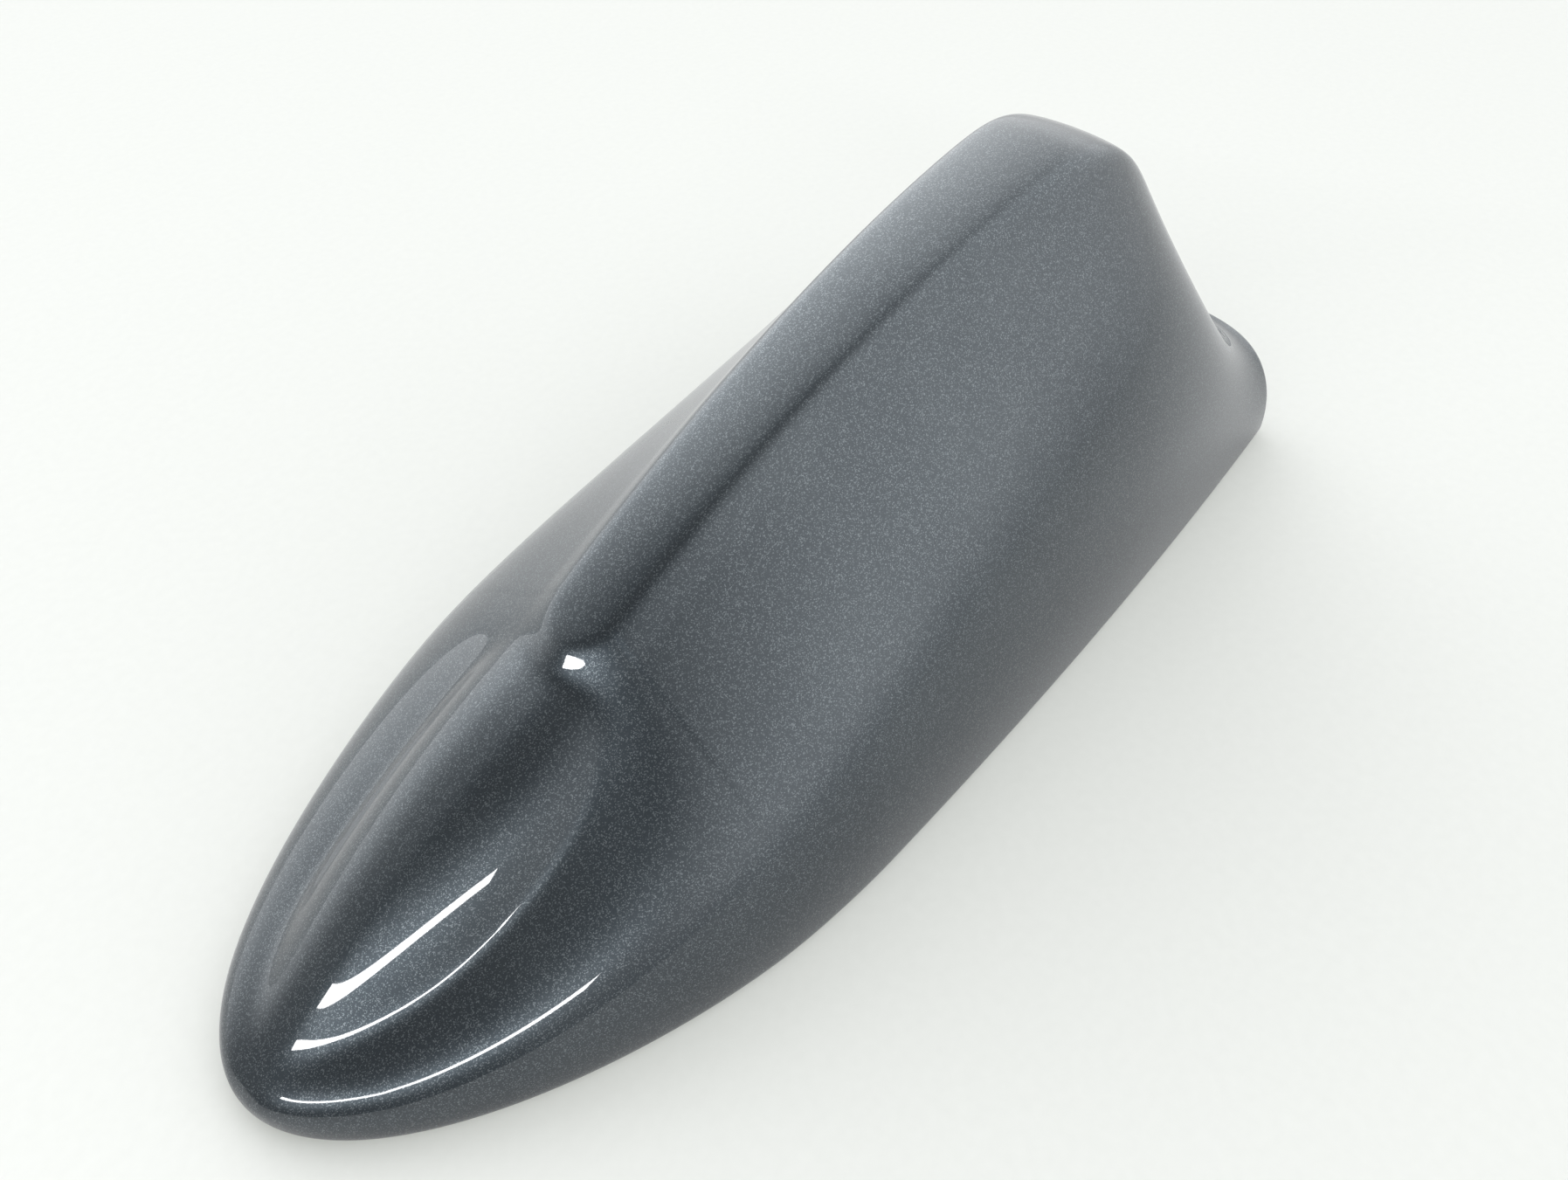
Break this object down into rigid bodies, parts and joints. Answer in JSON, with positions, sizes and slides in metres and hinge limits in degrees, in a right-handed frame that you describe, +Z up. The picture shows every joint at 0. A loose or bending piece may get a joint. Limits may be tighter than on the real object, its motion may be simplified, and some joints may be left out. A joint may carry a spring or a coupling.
{
  "type": "car roof antenna",
  "caption": "Fin-shaped car roof antenna: a glossy metallic cover with a rounded hood and rising fin, over a sealed base plate with its aerial boards.",
  "frame": {"origin": "middle of the footprint, on the roof it stands on", "axes": "+X towards the nose, +Y to the left of the car, +Z up from the roof"},
  "size_m": [0.165, 0.06, 0.0556],
  "materials": {
    "cover_paint": "dark blue-grey metallic paint with fine flake under a glossy clear coat",
    "base_plastic": "moulded black plastic, fine grain",
    "seal_rubber": "matte black rubber",
    "pad_foam": "closed-cell adhesive foam, dull dark grey",
    "board_green": "green solder mask over woven glass board",
    "tinned_sheet": "tinned steel sheet, satin",
    "spring_leaf": "rolled spring bronze",
    "patch_ceramic": "fired ceramic, tan, matte",
    "patch_silver": "printed silver, satin",
    "patch_adhesive": "white double-sided tape",
    "pin_metal": "tinned brass pin",
    "chip_black": "moulded black resin",
    "filter_metal": "plated lid, satin",
    "capacitor_body": "brown ceramic with tinned ends",
    "socket_brass": "gold-plated brass",
    "screw_steel": "zinc-plated steel",
    "foam_grey": "open-cell grey foam"
  },
  "bodies": {
    "root": {"fin_cover": "cover_paint", "base_plate": "base_plastic", "edge_seal": "seal_rubber", "lead_grommet": "seal_rubber", "adhesive_pad": "pad_foam", "main_board": "board_green", "fin_board": "board_green", "board_brackets": "tinned_sheet", "top_plate": "tinned_sheet", "shield_can": "tinned_sheet", "feed_clip": "spring_leaf", "ground_springs": "spring_leaf", "ceramic_patch": "patch_ceramic", "patch_electrode": "patch_silver", "patch_tape": "patch_adhesive", "patch_pin": "pin_metal", "amplifier_chip": "chip_black", "filter_chip": "filter_metal", "chip_capacitors": "capacitor_body", "lead_socket": "socket_brass", "board_screws": "screw_steel", "cover_screws": "screw_steel", "rattle_foam": "foam_grey"}
  },
  "joints": []
}
